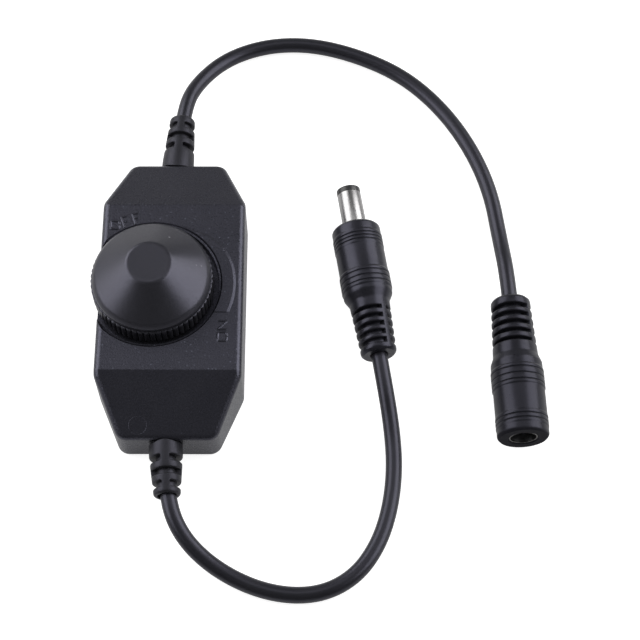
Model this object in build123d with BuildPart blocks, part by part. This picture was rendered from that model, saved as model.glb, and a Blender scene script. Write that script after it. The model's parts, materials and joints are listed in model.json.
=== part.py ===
from build123d import *
import os
from math import cos, pi, radians, sin, tan

os.makedirs("parts", exist_ok=True)

# Housing, an elongated octagon whose ends slope down, in millimetres
housing_length = 68.3
housing_width = 32.2
housing_height = 15.5
end_width = 21.4
end_height = 9.6
flat_length = 40.7
shoulder_length = 42.4
wall = 1.5
corner_radius = 2.8
inner_radius = 1.3
edge_radius = 1.5
crease_radius = 0.8
foot_radius = 0.5
parting_height = 2.4
floor_thickness = 1.6

# Snap joint between the cover and the base
joint_clearance = 0.1
tongue_thickness = 1.0
tongue_height = 2.0
bead_radius = 0.4
bead_length = 6.0
bead_spacing = 22.0
bead_rise = 1.1

# Clearance of pieces that are pressed or moulded together
seat_clearance = 0.03

# Knob, off the housing's middle, and the well in the cover that its skirt stands in
knob_x = -4.0
knob_y = 0.4
well_radius = 14.6
well_depth = 2.4
well_lip = 0.8
knob_gap = 0.8
knob_radius = 13.5
knob_skirt = 5.8
knob_cone = 6.2
cone_base_radius = 13.1
cone_top_radius = 4.9
cone_top_edge = 0.5
knob_wall = 1.6
knurl_count = 64
knurl_depth = 0.45
rim_band = 0.9
hub_radius = 4.8
hub_recess = 0.6

# Potentiometer under the knob
shaft_radius = 3.0
shaft_flat = 1.5
shaft_length = 9.9
shaft_clearance = 0.05
pivot_radius = 1.5
pivot_seat = 1.2
thrust_radius = 4.4
thrust_thickness = 0.8
thrust_clearance = 0.1
bushing_radius = 3.9
bushing_flange_radius = 5.2
bushing_flange = 0.8
bushing_rise = 0.5
bushing_clearance = 0.15
pot_radius = 8.0
pot_base_height = 1.6
pot_headroom = 0.2
pot_sheet = 0.5
track_inner_radius = 4.8
track_outer_radius = 6.8
track_thickness = 0.3
track_gap_angle = 60.0
rotor_radius = 6.6
wiper_thickness = 0.2
wiper_lift = 0.5
wiper_clearance = 0.1
wiper_tip_radius = 0.6
terminal_pitch = 2.5
terminal_width = 1.0
terminal_thickness = 0.4
terminal_inset = 1.7
terminal_reach = 1.0
terminal_hole = 0.65

# Circuit board on four posts of the base
board_standoff = 2.4
board_thickness = 1.6
board_clearance = 0.4
wire_room = 8.0
post_radius = 2.0
post_inset = 3.3
pin_radius = 1.0
pin_rise = 0.6
pad_x = 2.2
pad_inset = 3.0
pad_radius = 1.4
pad_height = 0.9

# Components on the board, each with its width, length and height, and its place from the board's end
component_inset = 9.3
transistor_size = (6.6, 6.1, 2.3)
transistor_x = 5.6
tab_size = (5.4, 1.4, 0.5)
leg_size = (0.8, 2.2, 0.5)
leg_pitch = 4.6
capacitor_radius = 3.15
capacitor_height = 4.6
capacitor_edge = 0.4
capacitor_x = -5.6
capacitor_foot = 0.8
timer_size = (3.9, 4.9, 1.5)
timer_x = 5.2
lead_size = (1.0, 0.4, 0.7)
lead_pitch = 1.27
lead_count = 4
diode_size = (2.6, 4.3, 2.2)
diode_x = -1.2
chip_size = (1.25, 2.0)
chip_pitch = 2.6
chip_rows = 2
resistor_height = 0.5
resistor_x = -6.6
ceramic_height = 0.9
ceramic_inset = 3.5
wire_radius = 0.65
wire_spread = 0.9
wire_arch = 2.0
wire_lead = 3.0
wire_bends = (3.0, 1.1)

# Strain relief boots in the end walls
boot_x = -0.5
boot_drop = 3.6
input_boot_length = 14.3
output_boot_length = 12.1
boot_standoff = 0.4
collar_radius = 3.7
collar_length = 2.6
boot_tip_radius = 2.95
boot_edge = 0.35
boot_core_radius = 2.2
boot_slot_width = 1.0
input_slot_start = 5.4
output_slot_start = 3.75
boot_slot_pitch = 2.9
boot_slot_rows = 3
boot_spine = 2.1
boot_socket = 6.0
boot_mouth = 0.3
neck_radius = 2.6
neck_clearance = 0.05
flange_width = 9.0
flange_thickness = 1.5
flange_rise = 2.2
input_lean = 3.0
output_lean = 3.8

# Cords
cord_radius = 1.8
input_first_run = 9.5
output_first_run = 6.9
input_last_run = 11.0
output_last_run = 10.3

# Connector grips, measured from their front faces
grip_edge = 0.7
tail_edge = 0.5
band_rise = 0.18
band_margin = 0.7
groove_width = 0.36
groove_depth = 0.22
rear_groove_count = 3
shoulder_start = 17.5
shoulder_drop = 1.8
relief_core_radius = 3.1
relief_slot_count = 5
relief_slot_width = 0.7
relief_slot_growth = 0.08
relief_spine = 1.4
grip_socket = 5.0

# Male plug, standard 5.5 mm barrel with a 2.1 mm bore
plug_x = 41.2
plug_y = 19.2
plug_turn = 9.13
plug_body_radius = 5.6
plug_relief_radius = 4.6
plug_tail_radius = 4.05
plug_grip_length = 32.1
plug_front_groove = 3.4
plug_front_pitch = 0.86
plug_front_count = 3
plug_rear_groove = 13.05
plug_rear_pitch = 1.27
plug_slot_start = 21.55
plug_slot_pitch = 1.98
plug_spine_angle = -38.0
barrel_radius = 2.75
barrel_bore_radius = 2.3
barrel_tail_radius = 2.55
barrel_length = 10.5
barrel_seat = 4.0
tip_length = 1.3
tip_edge = 0.25
contact_radius = 1.45
contact_bore_radius = 1.05
contact_recess = 0.4
contact_bore_depth = 9.6

# Female socket for such a plug
jack_x = 77.53
jack_y = -32.45
jack_turn = 2.5
jack_body_radius = 5.74
jack_relief_radius = 5.05
jack_tail_radius = 4.45
jack_grip_length = 33.3
jack_front_groove = 2.95
jack_front_pitch = 1.05
jack_front_count = 2
jack_rear_groove = 12.0
jack_rear_pitch = 1.47
jack_slot_start = 21.9
jack_slot_pitch = 2.05
jack_spine_angle = 56.0
sleeve_radius = 3.15
sleeve_bore_radius = 2.85
sleeve_recess = 0.5
jack_depth = 12.6
insert_thickness = 1.6
jack_pin_radius = 1.0
jack_pin_recess = 2.2
jack_pin_edge = 0.4
jack_pin_root_radius = 0.8
jack_pin_root_rise = 0.1

# Heights and reaches that follow from the sizes above
half_length = housing_length / 2
half_width = housing_width / 2
well_floor = housing_height - well_depth
well_underside = well_floor - wall
board_bottom = floor_thickness + board_standoff
board_top = board_bottom + board_thickness
knob_bottom = well_floor + knob_gap
rim_height = knob_bottom + knob_skirt
knob_top = rim_height + knob_cone
hub_bottom = knob_bottom + hub_recess
shaft_top = knob_bottom + shaft_length
pot_floor = board_top + pot_base_height
track_top = pot_floor + track_thickness
wiper_bottom = track_top + wiper_lift
rotor_bottom = wiper_bottom + wiper_thickness
cover_top = well_underside - pot_headroom
flange_bottom = cover_top - pot_sheet - bushing_flange
thrust_top = flange_bottom - thrust_clearance
rotor_top = thrust_top - thrust_thickness
bushing_top = well_floor + bushing_rise
boot_height = end_height - boot_drop
flange_face = half_length - wall - neck_clearance - flange_thickness
board_inset = wall + joint_clearance + tongue_thickness + board_clearance
board_reach = flange_face - wire_room
post_x = half_width - board_inset - post_inset
post_y = board_reach - post_inset
pad_y = board_reach - pad_inset
component_y = board_reach - component_inset
ceramic_x = half_width - board_inset - ceramic_inset

# Reference planes: the knob's axis, the two boots' axes and the two connectors' front faces
knob_axis = Plane(origin=(knob_x, knob_y, 0))
boot_axes = {}
for end, lean in ((1, radians(input_lean)), (-1, radians(output_lean))):
    boot_axes[end] = Plane(
        origin=(boot_x, end * half_length, boot_height),
        x_dir=(cos(lean), -end * sin(lean), 0),
        z_dir=(sin(lean), end * cos(lean), 0),
    )
plug_face = Plane(
    origin=(plug_x, plug_y, plug_body_radius + band_rise),
    x_dir=(cos(radians(plug_turn)), sin(radians(plug_turn)), 0),
    z_dir=(sin(radians(plug_turn)), -cos(radians(plug_turn)), 0),
)
jack_face = Plane(
    origin=(jack_x, jack_y, jack_body_radius + band_rise),
    x_dir=(-cos(radians(jack_turn)), -sin(radians(jack_turn)), 0),
    z_dir=(-sin(radians(jack_turn)), cos(radians(jack_turn)), 0),
)


def keep(piece, name):
    piece.label = name
    export_step(piece, f"parts/{name}.step")


# The octagon in plan, moved inwards by a wall
def plan_outline(inset, radius):
    with BuildSketch() as outline:
        with BuildLine():
            Polyline(
                (half_width, -shoulder_length / 2),
                (half_width, shoulder_length / 2),
                (end_width / 2, half_length),
                (-end_width / 2, half_length),
                (-half_width, shoulder_length / 2),
                (-half_width, -shoulder_length / 2),
                (-end_width / 2, -half_length),
                (end_width / 2, -half_length),
                close=True,
            )
        make_face()
        if inset > 0:
            offset(amount=-inset, kind=Kind.INTERSECTION)
        fillet(outline.vertices(), radius)
    return outline.sketch


# The housing seen from its side, its slopes carried past the ends, moved down by a wall
def side_outline(inset):
    slope = (housing_height - end_height) / (half_length - flat_length / 2)
    slope_end = end_height - slope * end_height
    with BuildSketch() as outline:
        with BuildLine():
            Polyline(
                (-half_length - end_height, -end_height),
                (half_length + end_height, -end_height),
                (half_length + end_height, slope_end),
                (flat_length / 2, housing_height),
                (-flat_length / 2, housing_height),
                (-half_length - end_height, slope_end),
                close=True,
            )
        make_face()
        if inset > 0:
            offset(amount=-inset, kind=Kind.INTERSECTION)
        fillet(outline.vertices().group_by(Axis.Y)[-1], crease_radius)
    return outline.sketch


# The form above the parting plane: the plan carried up and cut by the side outline
def housing_form(inset, radius):
    with BuildPart() as form:
        with BuildSketch(Plane.XY.offset(parting_height)):
            add(plan_outline(inset, radius))
        extrude(amount=housing_height - parting_height)
        with BuildSketch(Plane.YZ):
            add(side_outline(inset))
        extrude(amount=housing_width, both=True, mode=Mode.INTERSECT)
    return form.part


# The boot's neck and the slot that takes it: flat below on the base, round above
def neck_outline(growth):
    with BuildSketch() as outline:
        with Locations((boot_x, boot_height)):
            Circle(neck_radius + growth)
        with Locations((boot_x, (boot_height + parting_height) / 2)):
            Rectangle(2 * (neck_radius + growth), boot_height - parting_height)
    return outline.sketch


# A turned piece: radius and distance along the plane's own axis, swung about that axis
def turned(base, points):
    with BuildPart() as piece:
        with BuildSketch(Plane(base.origin, x_dir=base.x_dir, z_dir=-base.y_dir)):
            with BuildLine():
                Polyline(*points, close=True)
            make_face()
        revolve(axis=Axis(base.origin, base.z_dir))
    return piece.part


# A straight tube wall, from one distance along the axis to another
def tube(base, inner, outer, start, stop):
    return turned(base, [(inner, start), (outer, start), (outer, stop), (inner, stop)])


# The shaft's round section with its flat
def shaft_outline(growth):
    with BuildSketch() as outline:
        Circle(shaft_radius + growth)
        with Locations((0, shaft_flat + growth + shaft_radius)):
            Rectangle(4 * shaft_radius, 2 * shaft_radius, mode=Mode.SUBTRACT)
    return outline.sketch


# Hollow of the cover, which stops at the floor and wall of the knob's well
with BuildPart() as cover_cavity:
    add(housing_form(wall, inner_radius))
    with BuildSketch(knob_axis.offset(well_underside)):
        Circle(well_radius + wall)
    extrude(amount=housing_height, mode=Mode.SUBTRACT)

# Cover of the housing
with BuildPart() as upper_housing:
    add(housing_form(0, corner_radius))
    walls = upper_housing.faces().filter_by(lambda face: abs(face.normal_at().Z) < 0.01)
    rim = walls.edges().filter_by(
        lambda edge: edge.bounding_box().min.Z > parting_height + edge_radius
    )
    fillet(rim, edge_radius)
    add(cover_cavity.part, mode=Mode.SUBTRACT)
    add(
        turned(
            knob_axis,
            [
                (0, well_floor),
                (well_radius, well_floor),
                (well_radius, housing_height - well_lip),
                (well_radius + well_lip, housing_height),
                (well_radius + well_lip, knob_top),
                (0, knob_top),
            ],
        ),
        mode=Mode.SUBTRACT,
    )
    with BuildSketch(knob_axis.offset(well_underside)):
        Circle(bushing_radius + bushing_clearance)
    extrude(amount=wall, mode=Mode.SUBTRACT)
    for end in (1, -1):
        with BuildSketch(Plane.XZ.offset(-end * (half_length - wall / 2))):
            add(neck_outline(neck_clearance))
        extrude(amount=wall, both=True, mode=Mode.SUBTRACT)
    with Locations((0, 0, parting_height + bead_rise)):
        with GridLocations(2 * (half_width - wall - joint_clearance), bead_spacing, 2, 2):
            Cylinder(
                bead_radius + joint_clearance,
                bead_length + 2 * joint_clearance,
                rotation=(90, 0, 0),
                mode=Mode.SUBTRACT,
            )
keep(upper_housing.part, "upper_housing")

# Base of the housing with its tongue, snap beads, board posts and pockets for the boots
with BuildPart() as lower_housing:
    with BuildSketch():
        add(plan_outline(0, corner_radius))
    extrude(amount=parting_height)
    fillet(lower_housing.edges().group_by(Axis.Z)[0], foot_radius)
    with BuildSketch(Plane.XY.offset(parting_height)):
        add(plan_outline(wall + joint_clearance, inner_radius))
    extrude(amount=tongue_height)
    with BuildSketch(Plane.XY.offset(floor_thickness)):
        add(plan_outline(wall + joint_clearance + tongue_thickness, inner_radius))
    extrude(amount=parting_height + tongue_height, mode=Mode.SUBTRACT)
    pocket_depth = flange_thickness + neck_clearance + joint_clearance
    with BuildSketch(Plane.XY.offset(floor_thickness)):
        with Locations((boot_x, 0)):
            with GridLocations(0, 2 * (half_length - wall - pocket_depth / 2), 1, 2):
                Rectangle(flange_width + 2 * joint_clearance, pocket_depth)
    extrude(amount=parting_height + tongue_height, mode=Mode.SUBTRACT)
    with Locations((0, 0, parting_height + bead_rise)):
        with GridLocations(2 * (half_width - wall - joint_clearance), bead_spacing, 2, 2):
            Cylinder(bead_radius, bead_length, rotation=(90, 0, 0))
    with BuildSketch(Plane.XY.offset(floor_thickness)):
        with GridLocations(2 * post_x, 2 * post_y, 2, 2):
            Circle(post_radius)
    extrude(amount=board_standoff)
    with BuildSketch(Plane.XY.offset(board_bottom)):
        with GridLocations(2 * post_x, 2 * post_y, 2, 2):
            Circle(pin_radius)
    extrude(amount=board_thickness + pin_rise)
keep(lower_housing.part, "lower_housing")

# Knob: a hollow cone on a knurled skirt, with a hub that grips the shaft
cone_fall = knob_cone / (cone_base_radius - cone_top_radius)
cone_drop = knob_wall * (1 + cone_fall**2) ** 0.5
skirt_bore = knob_radius - knurl_depth - knob_wall
rim_step = abs(knob_radius - cone_base_radius)


def cone_inside(radius):
    return rim_height + (cone_base_radius - radius) * cone_fall - cone_drop


with BuildPart() as knob:
    add(
        turned(
            knob_axis,
            [
                (0, knob_bottom),
                (knob_radius, knob_bottom),
                (knob_radius, rim_height - rim_step),
                (cone_base_radius, rim_height),
                (cone_top_radius, knob_top),
                (0, knob_top),
            ],
        )
    )
    fillet(knob.edges().group_by(Axis.Z)[-1], cone_top_edge)
    with BuildSketch(knob_axis.offset(knob_bottom)):
        with PolarLocations(knob_radius, knurl_count):
            RegularPolygon(knurl_depth, 4)
    extrude(amount=knob_skirt - rim_band, mode=Mode.SUBTRACT)
    add(
        turned(
            knob_axis,
            [
                (hub_radius, knob_bottom),
                (skirt_bore, knob_bottom),
                (skirt_bore, cone_inside(skirt_bore)),
                (hub_radius, cone_inside(hub_radius)),
            ],
        ),
        mode=Mode.SUBTRACT,
    )
    with BuildSketch(knob_axis.offset(knob_bottom)):
        Circle(hub_radius)
    extrude(amount=hub_recess, mode=Mode.SUBTRACT)
    with BuildSketch(knob_axis.offset(hub_bottom)):
        add(shaft_outline(seat_clearance))
    extrude(amount=shaft_top - hub_bottom, mode=Mode.SUBTRACT)
keep(knob.part, "knob")

# Potentiometer: base with its terminals, track and can
with BuildPart() as pot_base:
    with BuildSketch(knob_axis.offset(board_top)):
        Circle(pot_radius)
        Circle(pivot_radius + shaft_clearance, mode=Mode.SUBTRACT)
        with Locations((0, terminal_inset - pot_radius)):
            with GridLocations(terminal_pitch, 0, 3, 1):
                Rectangle(
                    terminal_width + 2 * seat_clearance,
                    terminal_thickness + 2 * seat_clearance,
                    mode=Mode.SUBTRACT,
                )
    extrude(amount=pot_base_height)
keep(pot_base.part, "pot_base")

with BuildPart() as pot_terminals:
    with BuildSketch(knob_axis.offset(board_bottom - terminal_reach)):
        with Locations((0, terminal_inset - pot_radius)):
            with GridLocations(terminal_pitch, 0, 3, 1):
                Rectangle(terminal_width, terminal_thickness)
    extrude(amount=pot_floor - board_bottom + terminal_reach)
keep(pot_terminals.part, "pot_terminals")

with BuildPart() as pot_track:
    with BuildSketch(knob_axis.offset(pot_floor)):
        Circle(track_outer_radius)
        Circle(track_inner_radius, mode=Mode.SUBTRACT)
        gap_half = track_outer_radius * tan(radians(track_gap_angle / 2))
        with BuildLine():
            Polyline(
                (0, 0),
                (gap_half, -track_outer_radius),
                (-gap_half, -track_outer_radius),
                close=True,
            )
        make_face(mode=Mode.SUBTRACT)
    extrude(amount=track_thickness)
keep(pot_track.part, "pot_track")

with BuildPart() as pot_cover:
    with BuildSketch(knob_axis.offset(pot_floor)):
        Circle(pot_radius)
    extrude(amount=cover_top - pot_floor)
    with BuildSketch(knob_axis.offset(pot_floor)):
        Circle(pot_radius - pot_sheet)
    extrude(amount=cover_top - pot_floor - pot_sheet, mode=Mode.SUBTRACT)
    with BuildSketch(knob_axis.offset(cover_top)):
        Circle(bushing_radius + seat_clearance)
    extrude(amount=-pot_sheet, mode=Mode.SUBTRACT)
keep(pot_cover.part, "pot_cover")

with BuildPart() as pot_bushing:
    add(
        turned(
            knob_axis,
            [
                (shaft_radius + shaft_clearance, flange_bottom),
                (bushing_flange_radius, flange_bottom),
                (bushing_flange_radius, flange_bottom + bushing_flange),
                (bushing_radius, flange_bottom + bushing_flange),
                (bushing_radius, bushing_top),
                (shaft_radius + shaft_clearance, bushing_top),
            ],
        )
    )
keep(pot_bushing.part, "pot_bushing")

# Turning pieces of the potentiometer
with BuildPart() as pot_shaft:
    add(
        turned(
            knob_axis,
            [
                (0, pot_floor - pivot_seat),
                (pivot_radius, pot_floor - pivot_seat),
                (pivot_radius, rotor_bottom),
                (shaft_radius, rotor_bottom),
                (shaft_radius, rotor_top),
                (thrust_radius, rotor_top),
                (thrust_radius, thrust_top),
                (shaft_radius, thrust_top),
                (shaft_radius, hub_bottom),
                (0, hub_bottom),
            ],
        )
    )
    with BuildSketch(knob_axis.offset(hub_bottom)):
        add(shaft_outline(0))
    extrude(amount=shaft_top - hub_bottom - seat_clearance)
keep(pot_shaft.part, "pot_shaft")

with BuildPart() as pot_rotor:
    add(tube(knob_axis, shaft_radius + seat_clearance, rotor_radius, rotor_bottom, rotor_top))
keep(pot_rotor.part, "pot_rotor")

with BuildPart() as pot_wiper:
    add(
        tube(
            knob_axis,
            pivot_radius + seat_clearance,
            rotor_radius,
            wiper_bottom,
            rotor_bottom,
        )
    )
    with BuildSketch(knob_axis.offset(track_top + wiper_clearance)):
        with PolarLocations((track_inner_radius + track_outer_radius) / 2, 2):
            Circle(wiper_tip_radius)
    extrude(until=Until.NEXT)
keep(pot_wiper.part, "pot_wiper")

# Circuit board with holes for the pins, the wires and the terminals
with BuildPart() as circuit_board:
    with BuildSketch(Plane.XY.offset(board_bottom)):
        add(plan_outline(board_inset, inner_radius))
        Rectangle(housing_width, 2 * board_reach, mode=Mode.INTERSECT)
        with GridLocations(2 * post_x, 2 * post_y, 2, 2):
            Circle(pin_radius + joint_clearance, mode=Mode.SUBTRACT)
        with GridLocations(2 * pad_x, 2 * pad_y, 2, 2):
            Circle(wire_radius + seat_clearance, mode=Mode.SUBTRACT)
        with Locations((knob_x, knob_y + terminal_inset - pot_radius)):
            with GridLocations(terminal_pitch, 0, 3, 1):
                Circle(terminal_hole, mode=Mode.SUBTRACT)
    extrude(amount=board_thickness)
keep(circuit_board.part, "circuit_board")

# Components: the power transistor and the capacitor at the input end
with BuildPart() as power_transistor:
    with Locations((transistor_x, component_y, board_top)):
        Box(*transistor_size, align=(Align.CENTER, Align.CENTER, Align.MIN))
keep(power_transistor.part, "power_transistor")

with BuildPart() as transistor_tab:
    tab_y = component_y + (transistor_size[1] + tab_size[1]) / 2
    leg_y = component_y - (transistor_size[1] + leg_size[1]) / 2
    with Locations((transistor_x, tab_y, board_top)):
        Box(*tab_size, align=(Align.CENTER, Align.CENTER, Align.MIN))
    with Locations((transistor_x, leg_y, board_top)):
        with GridLocations(leg_pitch, 0, 2, 1):
            Box(*leg_size, align=(Align.CENTER, Align.CENTER, Align.MIN))
keep(transistor_tab.part, "transistor_tab")

with BuildPart() as capacitor_base:
    with Locations((capacitor_x, component_y, board_top)):
        Box(
            2 * capacitor_radius,
            2 * capacitor_radius,
            capacitor_foot,
            align=(Align.CENTER, Align.CENTER, Align.MIN),
        )
    chamfer(capacitor_base.edges().filter_by(Axis.Z).group_by(Axis.Y)[-1], capacitor_radius / 3)
keep(capacitor_base.part, "capacitor_base")

with BuildPart() as capacitor_can:
    with BuildSketch(Plane((capacitor_x, component_y, board_top + capacitor_foot))):
        Circle(capacitor_radius)
    extrude(amount=capacitor_height)
    fillet(capacitor_can.edges().group_by(Axis.Z)[-1], capacitor_edge)
keep(capacitor_can.part, "capacitor_can")

# Components at the output end
with BuildPart() as timer_chip:
    with Locations((timer_x, -component_y, board_top)):
        Box(*timer_size, align=(Align.CENTER, Align.CENTER, Align.MIN))
keep(timer_chip.part, "timer_chip")

with BuildPart() as timer_leads:
    with Locations((timer_x, -component_y, board_top)):
        with GridLocations(timer_size[0] + lead_size[0], lead_pitch, 2, lead_count):
            Box(*lead_size, align=(Align.CENTER, Align.CENTER, Align.MIN))
keep(timer_leads.part, "timer_leads")

with BuildPart() as rectifier_diode:
    with Locations((diode_x, -component_y, board_top)):
        Box(*diode_size, align=(Align.CENTER, Align.CENTER, Align.MIN))
keep(rectifier_diode.part, "rectifier_diode")

with BuildPart() as chip_resistors:
    with Locations((resistor_x, -component_y, board_top)):
        with GridLocations(chip_pitch, chip_pitch, 2, chip_rows):
            Box(*chip_size, resistor_height, align=(Align.CENTER, Align.CENTER, Align.MIN))
keep(chip_resistors.part, "chip_resistors")

with BuildPart() as chip_capacitors:
    with Locations((ceramic_x, -component_y, board_top)):
        with GridLocations(0, chip_pitch, 1, chip_rows):
            Box(*chip_size, ceramic_height, align=(Align.CENTER, Align.CENTER, Align.MIN))
keep(chip_capacitors.part, "chip_capacitors")

# Solder round the wires on top of the board and round the terminals below it
with BuildPart() as solder_joints:
    with BuildSketch(Plane.XY.offset(board_top)):
        with GridLocations(2 * pad_x, 2 * pad_y, 2, 2):
            Circle(pad_radius)
            Circle(wire_radius + seat_clearance, mode=Mode.SUBTRACT)
    extrude(amount=pad_height)
    with BuildSketch(knob_axis.offset(board_bottom - terminal_reach / 2)):
        with Locations((0, terminal_inset - pot_radius)):
            with GridLocations(terminal_pitch, 0, 3, 1):
                Circle(terminal_width)
                Rectangle(
                    terminal_width + 2 * seat_clearance,
                    terminal_thickness + 2 * seat_clearance,
                    mode=Mode.SUBTRACT,
                )
    extrude(amount=terminal_reach / 2)
keep(solder_joints.part, "solder_joints")

# Wires from the boots to the board
arch_height = board_top + wire_arch
for end, pair in ((1, "input"), (-1, "output")):
    for side, pole in ((1, "positive"), (-1, "negative")):
        with BuildPart() as wire:
            with BuildLine():
                lead = FilletPolyline(
                    (boot_x + side * wire_spread, end * flange_face, boot_height),
                    (boot_x + side * wire_spread, end * (flange_face - wire_lead), boot_height),
                    (side * pad_x, end * pad_y, arch_height),
                    (side * pad_x, end * pad_y, board_bottom),
                    radius=wire_bends,
                )
            with BuildSketch(Plane(lead @ 0, z_dir=lead % 0)):
                Circle(wire_radius)
            sweep()
        keep(wire.part, f"{pair}_{pole}_wire")

# Strain relief boots: flange inside, neck through the wall, slotted taper outside
for end, pair, boot_length, slot_start in (
    (1, "input", input_boot_length, input_slot_start),
    (-1, "output", output_boot_length, output_slot_start),
):
    axis = boot_axes[end]
    with BuildPart() as boot:
        with BuildSketch(Plane.XZ.offset(-end * flange_face)):
            with Locations((boot_x, (floor_thickness + boot_height + flange_rise) / 2)):
                Rectangle(flange_width, boot_height + flange_rise - floor_thickness)
        extrude(amount=-end * flange_thickness)
        with BuildSketch(Plane.XZ.offset(-end * (flange_face + flange_thickness))):
            add(neck_outline(0))
        extrude(amount=-end * (wall + neck_clearance))
        with BuildSketch(Plane.XZ.offset(-end * half_length)):
            with Locations((boot_x, boot_height)):
                Circle(neck_radius)
        extrude(amount=-end * collar_length)
        add(
            turned(
                axis,
                [
                    (0, boot_standoff),
                    (collar_radius - boot_edge, boot_standoff),
                    (collar_radius, boot_standoff + boot_edge),
                    (collar_radius, collar_length),
                    (boot_tip_radius, boot_length - boot_edge),
                    (boot_tip_radius - boot_edge, boot_length),
                    (0, boot_length),
                ],
            )
        )
        for row in range(boot_slot_rows):
            with BuildSketch(axis.offset(slot_start + row * boot_slot_pitch)):
                Circle(collar_radius)
                Circle(boot_core_radius, mode=Mode.SUBTRACT)
                Rectangle(
                    boot_spine,
                    2 * collar_radius,
                    rotation=90 * (row % 2),
                    mode=Mode.SUBTRACT,
                )
            extrude(amount=boot_slot_width, mode=Mode.SUBTRACT)
        add(
            turned(
                axis,
                [
                    (0, boot_length - boot_socket),
                    (cord_radius + seat_clearance, boot_length - boot_socket),
                    (cord_radius + boot_mouth, boot_length),
                    (0, boot_length),
                ],
            ),
            mode=Mode.SUBTRACT,
        )
    keep(boot.part, f"{pair}_boot")


# A moulded connector grip: body with two grooved bands, shoulder and slotted strain relief
def grip_form(face, body, relief, tail, length, bands, slot_start, slot_pitch, spine_angle):
    crest = body + band_rise
    outline = [(0, 0), (body - grip_edge, 0), (body, grip_edge)]
    for first, pitch, count in bands:
        last = first + (count - 1) * pitch
        outline += [(body, first - band_margin - band_rise), (crest, first - band_margin)]
        for index in range(count):
            middle = first + index * pitch
            outline += [
                (crest, middle - groove_width / 2),
                (crest - groove_depth, middle),
                (crest, middle + groove_width / 2),
            ]
        outline += [(crest, last + band_margin), (body, last + band_margin + band_rise)]
    outline += [
        (body, shoulder_start),
        (relief, shoulder_start + shoulder_drop),
        (tail, length - tail_edge),
        (tail - tail_edge, length),
        (0, length),
    ]
    with BuildPart() as grip:
        add(turned(face, outline))
        for index in range(relief_slot_count):
            with BuildSketch(face.offset(slot_start + index * slot_pitch)):
                Circle(body)
                Circle(relief_core_radius, mode=Mode.SUBTRACT)
                Rectangle(
                    relief_spine,
                    2 * body,
                    rotation=spine_angle,
                    mode=Mode.SUBTRACT,
                )
            extrude(amount=relief_slot_width + index * relief_slot_growth, mode=Mode.SUBTRACT)
        with BuildSketch(face.offset(length - grip_socket)):
            Circle(cord_radius + seat_clearance)
        extrude(amount=grip_socket, mode=Mode.SUBTRACT)
    return grip.part


# Male plug
with BuildPart() as plug_grip:
    add(
        grip_form(
            plug_face,
            plug_body_radius,
            plug_relief_radius,
            plug_tail_radius,
            plug_grip_length,
            [
                (plug_front_groove, plug_front_pitch, plug_front_count),
                (plug_rear_groove, plug_rear_pitch, rear_groove_count),
            ],
            plug_slot_start,
            plug_slot_pitch,
            plug_spine_angle,
        )
    )
    with BuildSketch(plug_face):
        Circle(barrel_tail_radius + seat_clearance)
    extrude(amount=barrel_seat, mode=Mode.SUBTRACT)
keep(plug_grip.part, "plug_grip")

with BuildPart() as plug_barrel:
    add(
        turned(
            plug_face,
            [
                (barrel_bore_radius, tip_length - barrel_length),
                (barrel_radius, tip_length - barrel_length),
                (barrel_radius, 0),
                (barrel_tail_radius, 0),
                (barrel_tail_radius, barrel_seat),
                (barrel_bore_radius, barrel_seat),
            ],
        )
    )
keep(plug_barrel.part, "plug_barrel")

with BuildPart() as plug_insulator:
    add(
        turned(
            plug_face,
            [
                (contact_radius + seat_clearance, -barrel_length),
                (barrel_radius - tip_edge, -barrel_length),
                (barrel_radius, tip_edge - barrel_length),
                (barrel_radius, tip_length - barrel_length),
                (barrel_bore_radius - seat_clearance, tip_length - barrel_length),
                (barrel_bore_radius - seat_clearance, barrel_seat),
                (contact_radius + seat_clearance, barrel_seat),
            ],
        )
    )
keep(plug_insulator.part, "plug_insulator")

with BuildPart() as plug_contact:
    add(tube(plug_face, 0, contact_radius, contact_recess - barrel_length, barrel_seat))
    with BuildSketch(plug_face.offset(contact_recess - barrel_length)):
        Circle(contact_bore_radius)
    extrude(amount=contact_bore_depth, mode=Mode.SUBTRACT)
keep(plug_contact.part, "plug_contact")

# Female socket
with BuildPart() as jack_grip:
    add(
        grip_form(
            jack_face,
            jack_body_radius,
            jack_relief_radius,
            jack_tail_radius,
            jack_grip_length,
            [
                (jack_front_groove, jack_front_pitch, jack_front_count),
                (jack_rear_groove, jack_rear_pitch, rear_groove_count),
            ],
            jack_slot_start,
            jack_slot_pitch,
            jack_spine_angle,
        )
    )
    with BuildSketch(jack_face):
        Circle(sleeve_radius + seat_clearance)
    extrude(amount=jack_depth, mode=Mode.SUBTRACT)
keep(jack_grip.part, "jack_grip")

with BuildPart() as jack_sleeve:
    add(tube(jack_face, sleeve_bore_radius, sleeve_radius, sleeve_recess, jack_depth))
keep(jack_sleeve.part, "jack_sleeve")

with BuildPart() as jack_insert:
    add(
        tube(
            jack_face,
            jack_pin_root_radius + seat_clearance,
            sleeve_bore_radius - seat_clearance,
            jack_depth - insert_thickness,
            jack_depth,
        )
    )
keep(jack_insert.part, "jack_insert")

with BuildPart() as jack_pin:
    add(
        turned(
            jack_face,
            [
                (0, jack_pin_recess),
                (jack_pin_radius - jack_pin_edge, jack_pin_recess),
                (jack_pin_radius, jack_pin_recess + jack_pin_edge),
                (jack_pin_radius, jack_depth - insert_thickness - jack_pin_root_rise),
                (jack_pin_root_radius, jack_depth - insert_thickness - jack_pin_root_rise),
                (jack_pin_root_radius, jack_depth),
                (0, jack_depth),
            ],
        )
    )
keep(jack_pin.part, "jack_pin")


# Routes of the cords, from a boot's socket to a grip's socket
def along(plane, distance):
    return plane.origin + plane.z_dir * distance


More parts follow.
